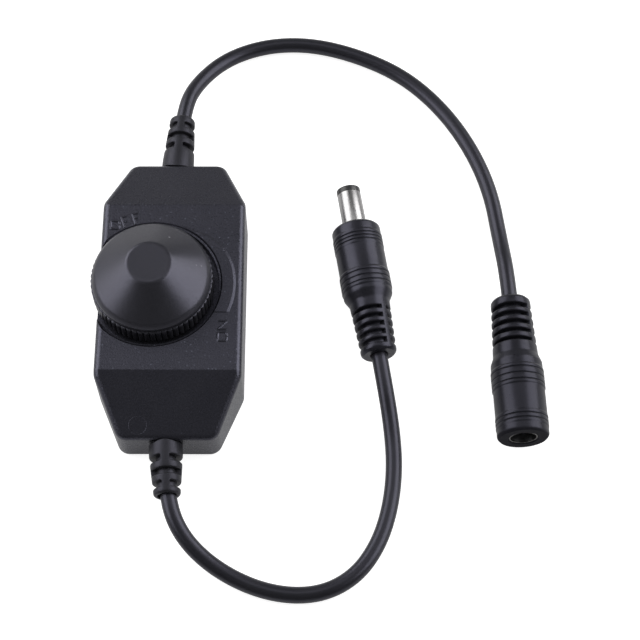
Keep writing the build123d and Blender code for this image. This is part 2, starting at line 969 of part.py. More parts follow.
input_stop = input_boot_length - boot_socket
output_stop = output_boot_length - boot_socket
jack_stop = jack_grip_length - grip_socket
plug_stop = plug_grip_length - grip_socket
input_route = [
    along(boot_axes[1], input_stop),
    along(boot_axes[1], input_stop + input_first_run),
    Vector(3.3, 60.2, 4.2),
    Vector(10.2, 68.4, 2.5),
    Vector(20.2, 72.7, 1.85),
    Vector(31.2, 72.9, 1.85),
    Vector(42.9, 69.4, 1.85),
    Vector(53.6, 63.5, 1.85),
    Vector(62.3, 54.5, 1.85),
    Vector(68.9, 43.6, 1.85),
    Vector(73.2, 31.6, 1.85),
    Vector(74.8, 18.7, 2.3),
    along(jack_face, jack_stop + input_last_run),
    along(jack_face, jack_stop),
]
output_route = [
    along(boot_axes[-1], output_stop),
    along(boot_axes[-1], output_stop + output_first_run),
    Vector(3.6, -54.5, 4.5),
    Vector(9.9, -60.4, 2.8),
    Vector(18.3, -64.8, 1.85),
    Vector(26.8, -66.8, 1.85),
    Vector(34.6, -66.0, 1.85),
    Vector(41.2, -62.0, 1.85),
    Vector(45.7, -55.4, 1.85),
    Vector(48.35, -47.4, 1.85),
    Vector(49.5, -38.1, 1.85),
    Vector(49.0, -28.6, 2.4),
    along(plug_face, plug_stop + output_last_run),
    along(plug_face, plug_stop),
]
for name, route in (("input_cord", input_route), ("output_cord", output_route)):
    runs = [stop - start for start, stop in zip(route, route[1:])]
    bends = [
        0.45 * min(run.length, after.length) / tan(radians(run.get_angle(after) / 2))
        for run, after in zip(runs, runs[1:])
    ]
    with BuildPart() as cord:
        with BuildLine():
            path = FilletPolyline(*route, radius=bends)
        with BuildSketch(Plane(path @ 0, z_dir=path % 0)):
            Circle(cord_radius)
        sweep()
    keep(cord.part, name)
    swept = pi * cord_radius**2 * path.length
    print(name, "radii", [round(bend, 1) for bend in bends])
    print(name, "length", round(path.length, 1))
    print(name, "volume", round(cord.part.volume, 1), "section times length", round(swept, 1))
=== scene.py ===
import json
import math

import bpy
import numpy as np
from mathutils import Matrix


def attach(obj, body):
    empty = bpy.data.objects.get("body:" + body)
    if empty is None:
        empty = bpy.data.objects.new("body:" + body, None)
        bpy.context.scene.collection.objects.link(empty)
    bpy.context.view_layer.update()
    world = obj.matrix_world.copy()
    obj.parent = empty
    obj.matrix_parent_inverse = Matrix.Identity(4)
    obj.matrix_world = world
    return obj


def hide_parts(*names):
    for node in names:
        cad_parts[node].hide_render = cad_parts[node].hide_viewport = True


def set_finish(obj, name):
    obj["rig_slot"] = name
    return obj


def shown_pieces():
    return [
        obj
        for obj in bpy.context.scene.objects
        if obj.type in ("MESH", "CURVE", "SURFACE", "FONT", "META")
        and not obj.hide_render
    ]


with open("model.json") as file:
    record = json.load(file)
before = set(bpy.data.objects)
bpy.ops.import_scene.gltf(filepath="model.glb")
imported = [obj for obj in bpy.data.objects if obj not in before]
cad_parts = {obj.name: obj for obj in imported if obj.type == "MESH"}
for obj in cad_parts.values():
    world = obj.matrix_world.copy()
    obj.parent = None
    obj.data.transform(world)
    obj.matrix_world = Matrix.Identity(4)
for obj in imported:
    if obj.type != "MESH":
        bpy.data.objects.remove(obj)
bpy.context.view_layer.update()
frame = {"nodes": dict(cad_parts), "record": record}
nodes = frame["nodes"]
scene = bpy.context.scene
scene.view_settings.view_transform = "Standard"
mm = 0.001
tiny = 1e-6
print("frame:", len(nodes), "nodes")


# camera, at the photograph's place
cameraView = {
    "lens": 97.8,
    "sensor": 36.0,
    "place": (0.033456, -0.171168, 0.360065),
    "elevation": 64.72,
    "azimuth": 0.14,
}


def placeCamera(view):
    lens = bpy.data.cameras.new("photoCamera")
    lens.lens = view["lens"]
    lens.sensor_width = view["sensor"]
    camera = bpy.data.objects.new("photoCamera", lens)
    scene.collection.objects.link(camera)
    camera.location = view["place"]
    camera.rotation_euler = (math.radians(90 - view["elevation"]), 0, math.radians(view["azimuth"]))
    scene.camera = camera


placeCamera(cameraView)
print("camera placed")


# mesh helpers
cornerShare = 0.48  # the most of a side that one rounding takes up


def addMesh(name, points, faces, body, slot, sharp=40.0):
    # the sign of the enclosed volume tells whether the faces point inwards, and then all are reversed
    points = np.asarray(points, float)
    split = [np.vstack([f[:, [0, 1, 2]], f[:, [0, 2, 3]]]) if f.shape[1] == 4 else f for f in faces]
    a, b, c = points[np.vstack(split)].transpose(1, 0, 2)
    volume = np.einsum("ij,ij->i", a, np.cross(b, c)).sum()
    if volume < 0:
        faces = [f[:, ::-1] for f in faces]
    mesh = bpy.data.meshes.new(name)
    mesh.from_pydata(points.tolist(), [], [row for f in faces for row in f.tolist()])
    mesh.update()
    mesh.shade_smooth()
    mesh.set_sharp_from_angle(angle=math.radians(sharp))
    piece = bpy.data.objects.new(name, mesh)
    scene.collection.objects.link(piece)
    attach(piece, body)
    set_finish(piece, slot)
    return piece


def gridFaces(rows, columns, wrapRows=False):
    # quads between neighbours of a rows x columns grid, closed round the columns
    i = np.arange(rows if wrapRows else rows - 1)[:, None]
    j = np.arange(columns)[None, :]
    below, beside = (i + 1) % rows, (j + 1) % columns
    corners = [i * columns + j, i * columns + beside, below * columns + beside, below * columns + j]
    return np.stack([np.broadcast_to(k, (len(i), columns)) for k in corners], -1).reshape(-1, 4)


def closedGrid(points):
    # a tube of rings whose first and last ring are shut by a fan to their middle
    rows, columns = points.shape[:2]
    flat = points.reshape(-1, 3)
    first, last = points[0].mean(0), points[-1].mean(0)
    j = np.arange(columns)
    beside = (j + 1) % columns
    start = np.stack([np.full(columns, len(flat)), beside, j], -1)
    base = (rows - 1) * columns
    stop = np.stack([np.full(columns, len(flat) + 1), base + j, base + beside], -1)
    return np.vstack([flat, first, last]), [gridFaces(rows, columns), start, stop]


def roundCorners(corners, steps=5):
    # corners are (radius, distance, rounding): each becomes a short parabola that starts and ends
    # one rounding along its two sides
    corners = np.asarray(corners, float)
    p, rounding = corners[:, :2], corners[:, 2:]
    sides = np.stack([np.vstack([p[:1], p[:-1]]) - p, np.vstack([p[1:], p[-1:]]) - p])
    length = np.linalg.norm(sides, axis=2)[..., None]
    reach = np.minimum(rounding, length.min(0) * cornerShare)
    start, stop = p + reach * sides / np.maximum(length, tiny)
    t = np.linspace(0, 1, steps)[None, :, None]
    curve = (1 - t) ** 2 * start[:, None] + 2 * t * (1 - t) * p[:, None] + t**2 * stop[:, None]
    curve = curve.reshape(-1, 2)
    moved = np.linalg.norm(np.diff(curve, axis=0), axis=1) > tiny
    return curve[np.concatenate([[True], moved])]


def axisFrame(origin, tail):
    # origin, side, up and tail directions of a piece that lies level along its tail
    tail = np.asarray(tail, float) / np.linalg.norm(tail)
    side = np.cross((0, 0, 1), tail)
    return np.asarray(origin, float), side / np.linalg.norm(side), np.cross(tail, side), tail


def ringPoints(place, radius, distance, angle):
    # origin, plus radius along side times cosine and along up times sine, plus distance along tail
    origin, side, up, tail = place
    radius, distance, angle = np.broadcast_arrays(radius, distance, angle[None, :])
    points = origin + radius[..., None] * (np.cos(angle)[..., None] * side + np.sin(angle)[..., None] * up)
    return (points + distance[..., None] * tail) * mm


def smoothStep(t):
    # from 0 to 1 with level ends: three t squared less two t cubed
    t = np.clip(t, 0, 1)
    return t * t * (3 - 2 * t)


# cords, one smooth spline each along the route of the solid
jacket = {"diameter": 3.6, "bevelSteps": 12, "order": 3, "lengthSteps": 14}
inputRoute = [
    (-0.0656, 42.4386, 6.0), (0.4316, 51.9256, 6.0), (3.3, 60.2, 4.2), (10.2, 68.4, 2.5), (20.2, 72.7, 1.85),
    (31.2, 72.9, 1.85), (42.9, 69.4, 1.85), (53.6, 63.5, 1.85), (62.3, 54.5, 1.85), (68.9, 43.6, 1.85),
    (73.2, 31.6, 1.85), (74.8, 18.7, 2.3), (75.8158, 6.8126, 5.92), (76.2956, -4.1769, 5.92),
]
outputRoute = [
    (-0.0957, -40.2366, 6.0), (0.3616, -47.1214, 6.0), (3.6, -54.5, 4.5), (9.9, -60.4, 2.8),
    (18.3, -64.8, 1.85), (26.8, -66.8, 1.85), (34.6, -66.0, 1.85), (41.2, -62.0, 1.85), (45.7, -55.4, 1.85),
    (48.35, -47.4, 1.85), (49.5, -38.1, 1.85), (49.0, -28.6, 2.4), (47.1344, -17.7262, 5.78),
    (45.5001, -7.5567, 5.78),
]


def layCord(name, route):
    # a circle carried along a quadratic spline, with the route as its control points
    curve = bpy.data.curves.new(name, "CURVE")
    curve.dimensions = "3D"
    curve.bevel_depth = 1.0  # times each point's radius
    curve.bevel_resolution = jacket["bevelSteps"]
    curve.use_fill_caps = True
    spline = curve.splines.new("NURBS")
    spline.points.add(len(route) - 1)
    places = np.column_stack([np.array(route) * mm, np.ones(len(route))])
    spline.points.foreach_set("co", places.ravel())
    spline.points.foreach_set("radius", np.full(len(route), jacket["diameter"] / 2 * mm))
    spline.order_u = jacket["order"]
    spline.use_endpoint_u = True
    spline.resolution_u = jacket["lengthSteps"]
    cord = bpy.data.objects.new(name, curve)
    scene.collection.objects.link(cord)
    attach(cord, "case")
    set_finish(cord, "cord_jacket")
    return cord


inputCord = layCord("inputCord", inputRoute)
outputCord = layCord("outputCord", outputRoute)
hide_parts("input_cord")
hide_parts("output_cord")
print("cords laid")


# knob: a cone on a knurled skirt, hollow below, turned about its own axis
knob = {
    "axis": (-4.0, 0.4, 0.0),
    "top": 25.9,
    "rim": 19.7,
    "bottom": 13.9,
    "topRadius": 4.9,
    "rimRadius": 13.1,
    "skirtRadius": 13.5,
    "boreRadius": 11.45,
    "hubRadius": 4.8,
    "hubBottom": 14.5,
    "holeRadius": 3.03,
    "holeTop": 23.8,
    "wall": 1.6,
    "ribs": 64,
    "ribColumns": 12,
    "ribDepth": 0.36,
    "ribRows": (0, 0.02, 0.07, 0.15, 0.27, 0.42, 0.6, 0.8, 1.0),
    "ribRun": 0.36,
    "shoulder": 12.45,
    "bandTop": 19.1,
    "ribTop": 18.2,
    "dish": 0.06,
    "dishBend": (0.6, 0.8),  # shares of the top's radius and of the dish's depth
    "pole": 0.4,
    "dishRound": 1.0,
    "edgeRound": 0.5,
    "bandRound": 0.4,
    "fineRound": 0.2,
    "roundSteps": 6,
}


def knobProfile(v):
    # dished top, cone, ribbed band, then back up inside and round the hub, as (radius, height) points
    fall = (v["top"] - v["rim"]) / (v["rimRadius"] - v["topRadius"])
    drop = v["wall"] * math.sqrt(1 + fall**2)

    def coneHeight(radius):
        return v["rim"] + (v["rimRadius"] - radius) * fall

    out, depth = v["dishBend"]
    edge, fine = v["edgeRound"], v["fineRound"]
    bandRadius = v["skirtRadius"] - v["ribDepth"]
    ribEnds = [v["ribTop"] - share * v["ribRun"] for share in v["ribRows"]]
    ribEnds += [v["bottom"] + share * v["ribRun"] for share in v["ribRows"][::-1]]
    corners = [
        (v["pole"], v["top"] - v["dish"], 0),
        (v["topRadius"] * out, v["top"] - v["dish"] * depth, v["dishRound"]),
        (v["topRadius"], v["top"], edge),
        (v["shoulder"], coneHeight(v["shoulder"]), edge),
        (bandRadius, v["bandTop"], v["bandRound"]),
        *[(bandRadius, height, 0) for height in ribEnds],
        (v["boreRadius"], v["bottom"], fine),
        (v["boreRadius"], coneHeight(v["boreRadius"]) - drop, edge),
        (v["hubRadius"], coneHeight(v["hubRadius"]) - drop, edge),
        (v["hubRadius"], v["hubBottom"], fine),
        (v["holeRadius"], v["hubBottom"], fine),
        (v["holeRadius"], v["holeTop"], fine),
        (v["pole"], v["holeTop"], 0),
    ]
    return roundCorners(corners, v["roundSteps"])


def makeKnob(v):
    # the profile turned about the axis; each rib stands out by a half circle across it times
    # a quarter circle at its two ends
    profile = knobProfile(v)
    radius, height = profile[:, :1], profile[:, 1:]
    angle = np.linspace(0, 2 * np.pi, v["ribs"] * v["ribColumns"], endpoint=False)
    phase = np.abs((angle * v["ribs"] / (2 * np.pi)) % 1.0 - 0.5) * 2
    across = np.sqrt(np.clip(1 - phase**2, 0, 1))
    inset = np.clip(np.minimum(v["ribTop"] - height, height - v["bottom"]) / v["ribRun"], 0, 1)
    outside = radius > (v["boreRadius"] + v["skirtRadius"] - v["ribDepth"]) / 2
    along = np.sqrt(1 - (1 - inset) ** 2) * outside
    rise = v["ribDepth"] * along * across[None, :]
    place = (np.array(v["axis"]), *np.eye(3))
    points = ringPoints(place, radius + rise, height, angle)
    piece = addMesh("knobBody", *closedGrid(points), "dial", "knob_plastic", sharp=35.0)
    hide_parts("knob")


makeKnob(knob)
print("knob made")


# grips: a grooved body and a slotted tail, as a radius over angle and distance
grip = {
    "edge": 0.5,
    "edgeRound": 0.45,
    "bandRises": (0.1, 0.18),
    "bandMargin": 0.7,
    "bandRun": 0.3,
    "bandRound": 0.15,
    "grooveWidth": 0.36,
    "grooveDepth": 0.22,
    "grooveLip": 0.1,
    "grooveRound": 0.08,
    "shoulder": 17.5,
    "shoulderDrop": 1.8,
    "shoulderRound": 0.35,
    "tailEdge": 0.5,
    "tailRound": 0.3,
    "roundSteps": 4,
    "core": 3.1,
    "slotCount": 5,
    "slotWidth": 0.7,
    "slotGrowth": 0.08,
    "slotRound": 0.35,
    "spine": 1.4,
    "spineBlend": 0.18,
    "mouthEdge": 0.25,
    "cordRadius": 1.83,
    "cordEdge": 0.3,
    "cordSocket": 5.0,
    "pole": 0.3,
}
plug = {
    "place": axisFrame((41.2, 19.2, 5.78), (0.1586751, -0.9873309, 0)),
    "radius": 5.6,
    "relief": 4.6,
    "tail": 4.05,
    "length": 32.1,
    "bands": ((3.4, 0.86, 3), (13.05, 1.27, 3)),  # first groove, pitch and count
    "slotStart": 21.55,
    "slotPitch": 1.98,
    "hole": (2.58, 4.0),
    "spineAngle": 52.0,
}
jack = {
    "place": axisFrame((77.53, -32.45, 5.92), (-0.0436194, 0.9990482, 0)),
    "radius": 5.74,
    "relief": 5.05,
    "tail": 4.45,
    "length": 33.3,
    "bands": ((2.95, 1.05, 2), (12.0, 1.47, 3)),
    "slotStart": 21.9,
    "slotPitch": 2.05,
    "hole": (3.18, 12.6),
    "spineAngle": 146.0,
}
spineColumns = {"even": 96, "dense": 9, "spread": 0.09, "closest": 0.004, "digits": 5}
slotLip = {"steps": 5, "inset": 1e-3}


def slottedColumns(spineAngle, half):
    # evenly spread angles, with more of them at the sides of the two spines
    plan = spineColumns
    sides = [math.radians(spineAngle + turn + sign * half) for turn in (0, 180) for sign in (-1, 1)]
    spread = np.linspace(-plan["spread"], plan["spread"], plan["dense"])
    near = np.concatenate([side + spread for side in sides])
    even = np.linspace(0, 2 * np.pi, plan["even"], endpoint=False)
    angle = np.concatenate([even, near]) % (2 * np.pi)
    angle = np.unique(np.round(angle, plan["digits"]))
    return angle[np.concatenate([[True], np.diff(angle) > plan["closest"]])]


def slotRows(starts, widths, rounding):
    # distances that follow each slot's rounded lips and its two walls
    lip = rounding * (1 - np.cos(np.linspace(0, np.pi / 2, slotLip["steps"])))
    inset = slotLip["inset"]
    rows = []
    for start, width in zip(starts, widths):
        walls = [start + inset, start + width / 2, start + width - inset]
        rows += [start - lip, walls, start + width + lip]
    return np.concatenate(rows)


def slotCut(distance, radius, core, starts, widths, rounding):
    # how far the outline goes in: down to the core inside a slot, by a quarter circle at its lips
    inside = np.zeros_like(distance)
    fall = np.zeros_like(distance)
    for start, width in zip(starts, widths):
        inside = np.maximum(inside, (distance > start) & (distance < start + width))
        gap = np.maximum(start - distance, distance - (start + width))
        reach = np.clip(1 - gap / rounding, 0, 1)
        fall = np.maximum(fall, rounding * (1 - np.sqrt(1 - reach**2)) * (gap >= 0))
    return inside * (radius - core) + (1 - inside) * np.minimum(fall, radius - core)


def gripBody(v):
    # radius along the axis: an edge, two raised bands of grooves, the shoulder and the tapered relief
    g = grip
    half, margin, run, bend = g["grooveWidth"] / 2, g["bandMargin"], g["bandRun"], g["bandRound"]
    lip, dip = g["grooveLip"], g["grooveRound"]
    body = [(v["radius"] - g["edge"], 0.0, 0), (v["radius"], g["edge"], g["edgeRound"])]
    for (first, pitch, count), rise in zip(v["bands"], g["bandRises"]):
        last, crest = first + (count - 1) * pitch, v["radius"] + rise
        valley = crest - g["grooveDepth"]
        body += [(v["radius"], first - margin - run, bend), (crest, first - margin, bend)]
        for middle in first + pitch * np.arange(count):
            body += [(crest, middle - half, lip), (valley, middle, dip), (crest, middle + half, lip)]
        body += [(crest, last + margin, bend), (v["radius"], last + margin + run, bend)]
    body += [
        (v["radius"], g["shoulder"], g["shoulderRound"]),
        (v["relief"], g["shoulder"] + g["shoulderDrop"], g["shoulderRound"]),
        (v["tail"], v["length"] - g["tailEdge"], g["tailRound"]),
        (v["tail"] - g["tailEdge"], v["length"], 0),
    ]
    return roundCorners(body, g["roundSteps"])


def makeGrip(name, node, v):
    # the outline turned about the axis, cut to the core at its slots except along the two spines,
    # with the hole at the front and the cord's socket behind
    g = grip
    outer = gripBody(v)
    index = np.arange(g["slotCount"])
    starts = v["slotStart"] + index * v["slotPitch"]
    widths = g["slotWidth"] + index * g["slotGrowth"]
    distance = np.unique(np.concatenate([outer[:, 1], slotRows(starts, widths, g["slotRound"])]))
    radius = np.interp(distance, outer[:, 1], outer[:, 0])
    half = math.degrees(math.asin(g["spine"] / 2 / v["relief"]))
    angle = slottedColumns(v["spineAngle"], half)
    across = np.abs(np.sin(angle - math.radians(v["spineAngle"]))) * v["relief"]
    opening = smoothStep((across - g["spine"] / 2) / g["spineBlend"] + 0.5)
    cut = slotCut(distance, radius, g["core"], starts, widths, g["slotRound"])
    shape = radius[:, None] - cut[:, None] * opening[None, :]
    hole, depth = v["hole"]
    edge, pole = g["mouthEdge"], g["pole"]
    front = np.array([(pole, depth), (hole, depth), (hole, edge), (hole + edge, 0.0)])
    length, cord, edge = v["length"], g["cordRadius"], g["cordEdge"]
    stop = length - g["cordSocket"]
    tail = np.array([(cord + edge, length), (cord, length - edge), (cord, stop), (pole, stop)])
    wide = np.ones((1, len(angle)))
    rings = np.vstack([front[:, :1] * wide, shape, tail[:, :1] * wide])
    along = np.concatenate([front[:, 1], distance, tail[:, 1]])[:, None]
    points = ringPoints(v["place"], rings, along, angle)
    piece = addMesh(name, *closedGrid(points), "case", "soft_plastic", sharp=38.0)
    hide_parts(node)
    return piece


plugGrip = makeGrip("plugGrip", "plug_grip", plug)
jackGrip = makeGrip("jackGrip", "jack_grip", jack)
print("grips made")


# strain relief boots: a flange inside the wall, a neck through it and a slotted taper outside
boot = {
    "side": -0.5,
    "height": 6.0,
    "wallPlace": 34.15,
    "standoff": 0.2,
    "wallEdge": (8.61, 1.5),  # height where the wall starts to round, and its radius
    "collar": 3.7,
    "collarEdge": 0.15,
    "collarRound": 0.1,
    "collarLength": 2.6,
    "taperRound": 0.6,
    "tip": 2.95,
    "tipEdge": 0.35,
    "tipRound": 0.3,
    "core": 2.2,
    "slotPitch": 2.9,
    "slotCount": 3,
    "slotWidth": 1.25,
    "slotRound": 0.35,
    "spine": 2.3,
    "spineBlend": 0.3,
    "socket": 6.0,
    "cordRadius": 1.83,
    "mouth": 2.1,
    "mouthEdge": 0.1,
    "pole": 0.3,
    "neck": 2.6,
    "neckDown": 3.6,
    "neckEnd": 2.95,
    "neckOverlap": 0.1,
    "flangeFrom": -3.05,
    "flangeThick": 1.5,
    "flangeEdge": 0.15,
    "flangeHalf": 4.5,
    "flangeUp": 2.2,
    "flangeDown": 4.4,
    "flangePole": 0.05,
    "columns": 128,
}
inputEnd = {"end": 1, "lean": 3.0, "length": 14.3, "slotStart": 5.28}
outputEnd = {"end": -1, "lean": 3.8, "length": 11.8, "slotStart": 3.3}


def boxRadius(angle, half, up, down):
    # distance from the middle to an upright rectangle's edge in each direction
    across = np.maximum(np.abs(np.cos(angle)), tiny)
    upward = np.maximum(np.abs(np.sin(angle)), tiny)
    return np.minimum(half / across, np.where(np.sin(angle) > 0, up, down) / upward)


def bootInside(place, angle):
    # rings of the rectangular flange, then of the neck, which is round above and square below
    b = boot
    edge, thick = b["flangeEdge"], b["flangeThick"]
    flange = boxRadius(angle, b["flangeHalf"], b["flangeUp"], b["flangeDown"])
    square = boxRadius(angle, b["neck"], b["neckDown"], b["neckDown"])
    neck = np.where(np.sin(angle) > 0, b["neck"], square)
    radius = np.stack([flange * b["flangePole"], flange - edge, flange, flange, flange - edge, neck, neck])
    distance = np.array([0, 0, edge, thick - edge, thick, thick, b["neckEnd"]])[:, None]
    return ringPoints(place, radius, distance + b["flangeFrom"], angle)


def bootOutside(place, angle, v):
    # the taper turned about the leaned axis, less its rows of slots, each a quarter turn from the last
    b = boot
    length, face = v["length"], b["standoff"]
    outer = roundCorners([
        (b["neck"] - b["neckOverlap"], face, 0),
        (b["collar"] - b["collarEdge"], face, b["collarRound"]),
        (b["collar"], face + b["collarEdge"], b["collarRound"]),
        (b["collar"], b["collarLength"], b["taperRound"]),
        (b["tip"], length - b["tipEdge"], b["tipRound"]),
        (b["tip"] - b["tipEdge"], length, 0),
    ])
    atFace = outer[:, 1] <= face + tiny
    lead, rest = outer[atFace], outer[~atFace]
    starts = v["slotStart"] + b["slotPitch"] * np.arange(b["slotCount"])
    widths = np.full(b["slotCount"], b["slotWidth"])
    distance = np.unique(np.concatenate([rest[:, 1], slotRows(starts, widths, b["slotRound"])]))
    radius = np.interp(distance, rest[:, 1], rest[:, 0])
    shape = np.repeat(radius[:, None], len(angle), 1)
    for row, start in enumerate(starts):
        across = np.abs(np.sin(angle) if row % 2 else np.cos(angle)) * b["collar"]
        opening = smoothStep((across - b["spine"] / 2) / b["spineBlend"] + 0.5)
        cut = slotCut(distance, radius, b["core"], [start], [b["slotWidth"]], b["slotRound"])
        shape = shape - cut[:, None] * opening[None, :]
    stop, edge = length - b["socket"], b["mouthEdge"]
    mouth = np.array([
        (b["mouth"] + edge, length), (b["mouth"], length - edge), (b["cordRadius"], stop), (b["pole"], stop),
    ])
    wide = np.ones((1, len(angle)))
    rings = np.vstack([lead[:, :1] * wide, shape, mouth[:, :1] * wide])
    along = np.concatenate([lead[:, 1], distance, mouth[:, 1]])[:, None]
    # the end at the wall goes back as far as the circle of the wall's rounded upper edge does
    edgeStart, edgeRound = b["wallEdge"]
    above = np.clip(rings * np.sin(angle) + b["height"] - edgeStart, 0, edgeRound)
    back = edgeRound - np.sqrt(edgeRound**2 - above**2)
    nearWall = np.clip((b["collarLength"] - along) / (b["collarLength"] - face), 0, 1)
    return ringPoints(place, rings, along - nearWall * back, angle)


def makeBoot(name, node, v):
    # one closed tube of rings: square to the wall inside it, leaned like the cord outside
    lean, end = math.radians(v["lean"]), v["end"]
    origin = (boot["side"], end * boot["wallPlace"], boot["height"])
    columns = boot["columns"]
    angle = np.linspace(0, 2 * np.pi, columns, endpoint=False) + np.pi / columns
    inside = bootInside(axisFrame(origin, (0, end, 0)), angle)
    outside = bootOutside(axisFrame(origin, (math.sin(lean), end * math.cos(lean), 0)), angle, v)
    rings = np.concatenate([inside, outside])
    piece = addMesh(name, *closedGrid(rings), "case", "soft_plastic", sharp=38.0)
    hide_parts(node)


makeBoot("inputBoot", "input_boot", inputEnd)
makeBoot("outputBoot", "output_boot", outputEnd)
print("boots made")


# metal and insulators of the plug and the socket, as (radius, distance behind the grip's front)
turnedParts = {
    "plugBarrel": (
        "plug_barrel", plug, "nickel_plate", 64,
        [(2.3, 4.0), (2.55, 4.0), (2.55, 0.0), (2.75, 0.0), (2.75, -9.2), (2.3, -9.2), (2.3, 4.0)],
    ),
    "plugTip": (
        "plug_insulator", plug, "tip_plastic", 64,
        [(1.48, 4.0), (2.27, 4.0), (2.27, -9.2), (2.75, -9.2), (2.75, -10.5), (1.48, -10.5), (1.48, 4.0)],
    ),
    "plugContact": (
        "plug_contact", plug, "nickel_plate", 48,
        [(0.2, 4.0), (1.45, 4.0), (1.45, -10.1), (1.05, -10.1), (1.05, -0.5), (0.2, -0.5)],
    ),
    "jackSleeve": (
        "jack_sleeve", jack, "nickel_plate", 64,
        [(2.85, 12.6), (3.15, 12.6), (3.15, 0.2), (2.85, 0.2), (2.85, 12.6)],
    ),
    "jackInsert": (
        "jack_insert", jack, "tip_plastic", 48,
        [(0.83, 12.6), (2.82, 12.6), (2.82, 11.0), (0.83, 11.0), (0.83, 12.6)],
    ),
    "jackPin": (
        "jack_pin", jack, "nickel_plate", 40,
        [(0.1, 12.6), (0.8, 12.6), (0.8, 10.9), (1.0, 10.9), (1.0, 2.6), (0.6, 2.2), (0.1, 2.2)],
    ),
}
edgeBreak = {"radius": 0.08, "steps": 4}


def makeTurned(name, node, owner, slot, columns, corners):
    # a profile with broken edges turned about the connector's axis; one that ends where it starts is a ring
    ring = corners[0] == corners[-1]
    ends = (0, len(corners) - 1) if ring else ()
    rounding = [0.0 if i in ends else edgeBreak["radius"] for i in range(len(corners))]
    profile = roundCorners(np.column_stack([corners, rounding]), edgeBreak["steps"])
    angle = np.linspace(0, 2 * np.pi, columns, endpoint=False)
    if ring:
        profile = profile[:-1]
    points = ringPoints(owner["place"], profile[:, :1], profile[:, 1:], angle)
    if ring:
        mesh = points.reshape(-1, 3), [gridFaces(len(points), columns, wrapRows=True)]
    else:
        mesh = closedGrid(points)
    piece = addMesh(name, *mesh, "case", slot)
    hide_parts(node)
    return piece


turned = {name: makeTurned(name, *facts) for name, facts in turnedParts.items()}
print("contacts turned")


# raised legend on the cover: letters of tent-shaped strokes, and a crescent beside the knob
legend = {
    "level": 15.5,
    "stroke": 0.58,
    "rise": 0.22,
    "sink": 0.05,
    "steps": 48,
    "endRun": 0.15,
    "endShare": 0.05,
    "section": (-1, -0.5, -0.12, 0.12, 0.5, 1, 1, -1),  # the last two are the sunk ones
}
crescent = {
    "inner": 15.4,
    "outer": ((-30, 18.45), (13, 18.4), (30, 18.0), (45, 17.1), (58, 16.0), (66, 15.75)),  # turn and radius
    "start": -27.0,  # degrees
    "stop": 66.0,
    "low": -6.95,  # its straight lower end, along Y from the knob's axis
    "slope": 0.55,
    "slopeShare": 0.7,
    "edge": 0.05,
    "rise": 0.22,
    "sink": 0.05,
    "fullWidth": 1.2,
    "thinnest": 0.1,
    "rows": 60,
}
# round-cornered box of half size 1, its corners being those of a fourth-power ellipse
letterBox = {"points": 33, "power": 4}
boxTurn = np.linspace(0, 2 * np.pi, letterBox["points"])
boxLoop = np.stack([np.cos(boxTurn), np.sin(boxTurn)], -1)
boxLoop /= (np.abs(boxLoop) ** letterBox["power"]).sum(1)[:, None] ** (1 / letterBox["power"])
offLetters = [
    boxLoop * (0.98, 1.0) + (-13.1, 15.05),
    [(-10.45, 17.4), (-11.75, 17.0), (-10.83, 14.3)],
    [(-11.35, 15.75), (-10.3, 16.1)],
    [(-7.9, 18.2), (-9.3, 17.8), (-8.4, 15.2)],
    [(-8.9, 16.6), (-7.85, 16.95)],
]
onLetters = [
    boxLoop * (1.0, 1.05) + (11.7, -12.5),
    [(12.7, -10.75), (10.7, -10.75), (12.7, -8.75), (10.7, -8.75)],
]


def strokeRidge(path, v):
    # a tent-shaped ridge carried along the path, its section shrinking to nothing at both ends
    path = np.asarray(path, float)
    length = np.concatenate([[0], np.cumsum(np.linalg.norm(np.diff(path, axis=0), axis=1))])
    t = np.unique(np.concatenate([np.linspace(0, length[-1], v["steps"]), length]))
    middle = np.stack([np.interp(t, length, path[:, k]) for k in (0, 1)], -1)
    ahead = np.gradient(middle, axis=0)
    ahead /= np.linalg.norm(ahead, axis=1)[:, None]
    aside = np.stack([-ahead[:, 1], ahead[:, 0]], -1)
    near = np.clip(np.minimum(t, length[-1] - t) / v["endRun"], v["endShare"], 1)[:, None]
    across = np.array(v["section"])
    raised = np.arange(len(across)) < len(across) - 2
    up = np.where(raised, v["rise"] * (1 - np.abs(across)) * near, -v["sink"])
    flat = middle[:, None, :] + (v["stroke"] / 2 * across * near)[..., None] * aside[:, None, :]
    return np.concatenate([flat, (v["level"] + up)[..., None]], -1) * mm


def makeLetters(name, strokes):
    # all strokes of a word in one mesh, each a closed ridge of its own
    points, faces, count = [], [], 0
    for path in strokes:
        more, sheets = closedGrid(strokeRidge(path, legend))
        points.append(more)
        faces += [sheet + count for sheet in sheets]
        count += len(more)
    addMesh(name, np.vstack(points), faces, "case", "case_plastic", sharp=25.0)


def aroundKnob(radius, height, angle):
    # the knob's axis, plus radius times cosine along X and times sine along Y, at a height
    x = knob["axis"][0] + radius * np.cos(angle)
    y = knob["axis"][1] + radius * np.sin(angle)
    return np.stack(np.broadcast_arrays(x, y, height), -1) * mm


